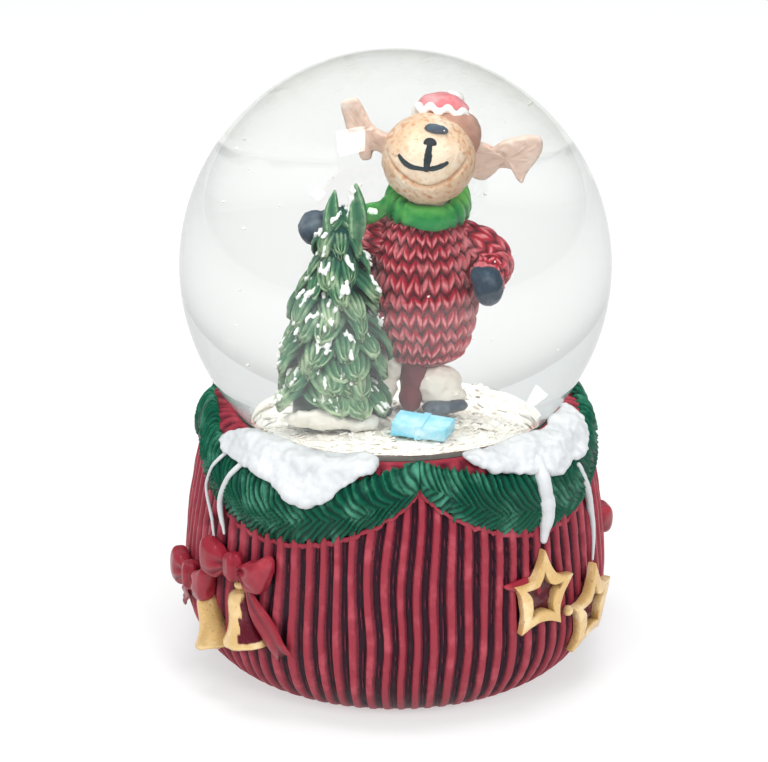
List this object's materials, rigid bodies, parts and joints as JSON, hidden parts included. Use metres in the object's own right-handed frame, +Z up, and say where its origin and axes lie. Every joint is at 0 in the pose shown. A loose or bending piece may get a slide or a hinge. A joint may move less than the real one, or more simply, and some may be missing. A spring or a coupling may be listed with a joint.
{
  "type": "snow globe",
  "caption": "Water-filled glass ball with a moose, fir tree and gift inside, on a ribbed festive bowl-shaped base with garland, bows, bells and stars.",
  "frame": {"origin": "centre of the flat ring that the base stands on", "axes": "+Z up; -Y towards the front, where the moose faces; +X to the right as seen from the front"},
  "size_m": [0.0678, 0.0654, 0.0943],
  "materials": {
    "cast_red": "painted resin casting, satin",
    "cover": "moulded",
    "felt": "pressed felt",
    "rubber": "moulded",
    "seal": "cured adhesive",
    "glass": "blown, clear",
    "liquid": "clear water",
    "garland_green": "painted resin, gloss",
    "snow_paint": "thick white enamel",
    "ribbon_red": "painted resin, gloss",
    "gold": "gold paint, worn edges",
    "dark_red": "painted resin",
    "ground": "cast resin, snow-coloured",
    "flakes": "loose snow flakes",
    "boots": "painted resin",
    "trousers": "painted resin",
    "knit_red": "painted resin with knit relief",
    "scarf_green": "painted resin with knit relief",
    "fur_tan": "painted resin",
    "antler": "painted resin",
    "nose": "painted resin, gloss",
    "hat_red": "painted resin",
    "hat_white": "painted resin",
    "fir_green": "painted resin, snow-dabbed",
    "rock": "cast resin",
    "gift_blue": "painted resin",
    "gift_ribbon": "painted resin"
  },
  "bodies": {
    "globe": {"base_casting": "cast_red", "rubber_stopper": "rubber", "seal_ring": "seal", "glass_globe": "glass", "liquid": "liquid", "garland_front_left": "garland_green", "garland_front_right": "garland_green", "garland_back_right": "garland_green", "garland_back_left": "garland_green", "snow_cap_front_left": "snow_paint", "snow_cap_front_right": "snow_paint", "snow_cap_back_right": "snow_paint", "snow_cap_back_left": "snow_paint", "icicle_left_outer": "snow_paint", "icicle_left_inner": "snow_paint", "icicle_right_front": "snow_paint", "icicle_right_side": "snow_paint", "bow_front": "ribbon_red", "bow_side": "ribbon_red", "bow_back": "ribbon_red", "bow_far_side": "ribbon_red", "bell_front": "gold", "bell_side": "gold", "bell_back": "gold", "bell_far_side": "gold", "bell_clappers": "gold", "star_front": "gold", "star_side": "gold", "star_back": "gold", "star_far_side": "gold", "star_backs": "dark_red", "star_beads": "gold", "star_ribbons": "ribbon_red", "ground": "ground", "snow_bed": "flakes", "drifting_flakes": "flakes", "boot_left": "boots", "boot_right": "boots", "leg_left": "trousers", "leg_right": "trousers", "sweater": "knit_red", "sleeve_left": "knit_red", "sleeve_right": "knit_red", "mitten_left": "boots", "mitten_right": "boots", "scarf": "scarf_green", "head": "fur_tan", "nose": "nose", "antler_left": "antler", "antler_right": "antler", "hat": "hat_red", "hat_trim": "hat_white", "pompom": "hat_white", "fir_tree": "fir_green", "tree_rock": "rock", "gift_box": "gift_blue", "gift_ribbon": "gift_ribbon"},
    "bottom_cover": {"bottom_cover": "cover", "felt_pad": "felt"}
  },
  "joints": [
    {"name": "cover_pull", "type": "slide", "parent": "globe", "child": "bottom_cover", "axis": [0, 0, -1], "range_m": [0, 0.015]}
  ]
}
